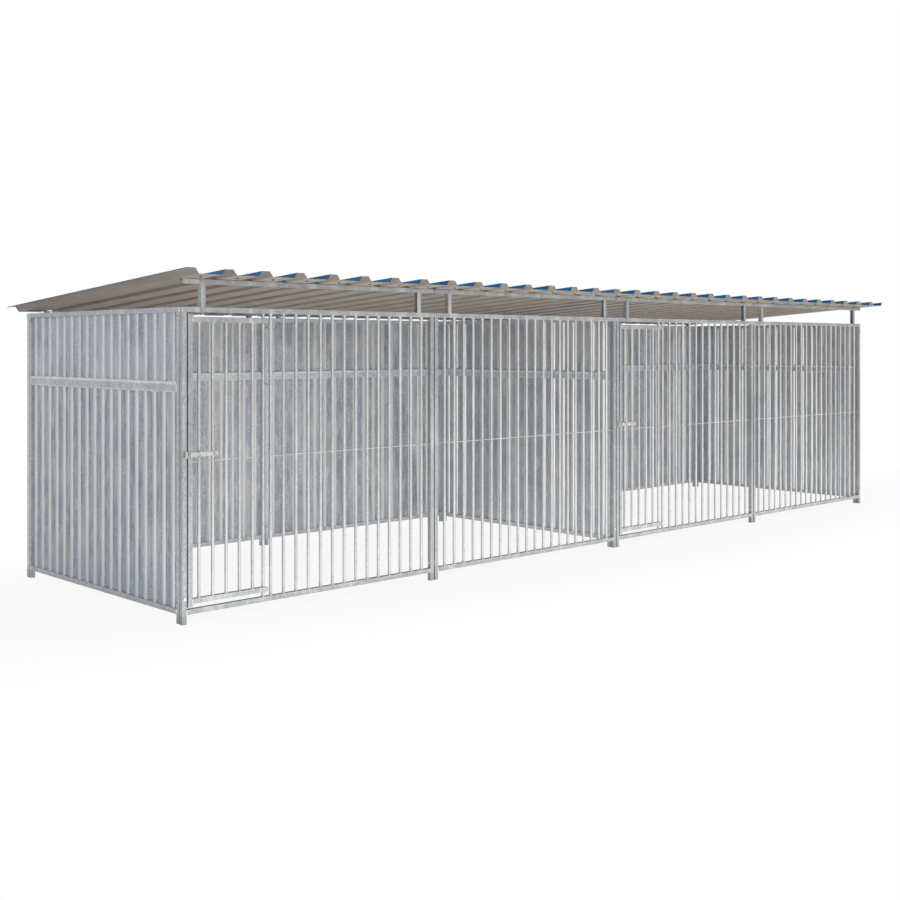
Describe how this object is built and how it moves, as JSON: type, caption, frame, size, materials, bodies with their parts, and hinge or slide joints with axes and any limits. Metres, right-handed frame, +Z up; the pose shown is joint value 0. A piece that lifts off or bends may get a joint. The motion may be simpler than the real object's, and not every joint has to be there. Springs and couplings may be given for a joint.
{
  "type": "outdoor dog kennel run",
  "caption": "Outdoor dog kennel of two runs side by side: barred galvanised front with swinging doors and slide bolts, corrugated steel walls and a lean-to trapezoid sheet roof.",
  "frame": {"origin": "on the floor below the middle of the whole kennel", "axes": "+X along the front to the right as seen from the front, +Y to the back, +Z up"},
  "size_m": [8.1906, 2.3674, 2.0669],
  "materials": {
    "galvanised_tube": "hot-dip galvanised, dull with a faint spangle",
    "galvanised_sheet": "galvanised sheet with spangle and run marks",
    "zinc_hardware": "zinc plated",
    "roof_paint": "blue coil coat above, grey-beige back coat below"
  },
  "bodies": {
    "kennel": {"front_frame_1": "galvanised_tube", "front_bars_1": "galvanised_tube", "front_frame_2": "galvanised_tube", "front_bars_2": "galvanised_tube", "front_frame_3": "galvanised_tube", "front_bars_3": "galvanised_tube", "front_frame_4": "galvanised_tube", "front_bars_4": "galvanised_tube", "tie_rods": "galvanised_tube", "hinge_bar_1": "galvanised_tube", "latch_keeper_1": "zinc_hardware", "hinge_bar_2": "galvanised_tube", "latch_keeper_2": "zinc_hardware", "left_wall_frame": "galvanised_tube", "left_wall_sheets": "galvanised_sheet", "divider_wall_frame": "galvanised_tube", "divider_wall_sheets": "galvanised_sheet", "right_wall_frame": "galvanised_tube", "right_wall_sheets": "galvanised_sheet", "back_frame_1": "galvanised_tube", "back_sheets_1": "galvanised_sheet", "back_frame_2": "galvanised_tube", "back_sheets_2": "galvanised_sheet", "back_frame_3": "galvanised_tube", "back_sheets_3": "galvanised_sheet", "back_frame_4": "galvanised_tube", "back_sheets_4": "galvanised_sheet", "front_uprights": "galvanised_tube", "front_purlins": "galvanised_tube", "rear_uprights": "galvanised_tube", "rear_bearers": "galvanised_tube", "roof_sheet_1": "roof_paint", "roof_sheet_2": "roof_paint", "roof_sheet_3": "roof_paint", "roof_sheet_4": "roof_paint", "roof_sheet_5": "roof_paint", "roof_sheet_6": "roof_paint", "roof_sheet_7": "roof_paint", "roof_sheet_8": "roof_paint", "panel_bolts": "zinc_hardware", "panel_nuts": "zinc_hardware", "panel_spacers": "zinc_hardware", "back_links": "zinc_hardware", "upright_screws": "zinc_hardware", "roof_screws": "zinc_hardware"},
    "door_1": {"door_frame_1": "galvanised_tube", "door_sleeves_1": "zinc_hardware", "door_bars_1": "galvanised_tube", "latch_plate_1": "zinc_hardware", "latch_guides_1": "zinc_hardware"},
    "bolt_1": {"latch_bolt_1": "zinc_hardware"},
    "door_2": {"door_frame_2": "galvanised_tube", "door_sleeves_2": "zinc_hardware", "door_bars_2": "galvanised_tube", "latch_plate_2": "zinc_hardware", "latch_guides_2": "zinc_hardware"},
    "bolt_2": {"latch_bolt_2": "zinc_hardware"}
  },
  "joints": [
    {"name": "door_1_hinge", "type": "hinge", "parent": "kennel", "child": "door_1", "pos_m": [-3.42, -0.95873, 0.925], "axis": [0, 0, 1], "range_deg": [-100, 100]},
    {"name": "bolt_1_slide", "type": "slide", "parent": "door_1", "child": "bolt_1", "axis": [-1, 0, 0], "range_m": [0, 0.034]},
    {"name": "door_2_hinge", "type": "hinge", "parent": "kennel", "child": "door_2", "pos_m": [0.58, -0.95873, 0.925], "axis": [0, 0, 1], "range_deg": [-100, 100]},
    {"name": "bolt_2_slide", "type": "slide", "parent": "door_2", "child": "bolt_2", "axis": [-1, 0, 0], "range_m": [0, 0.034]}
  ]
}
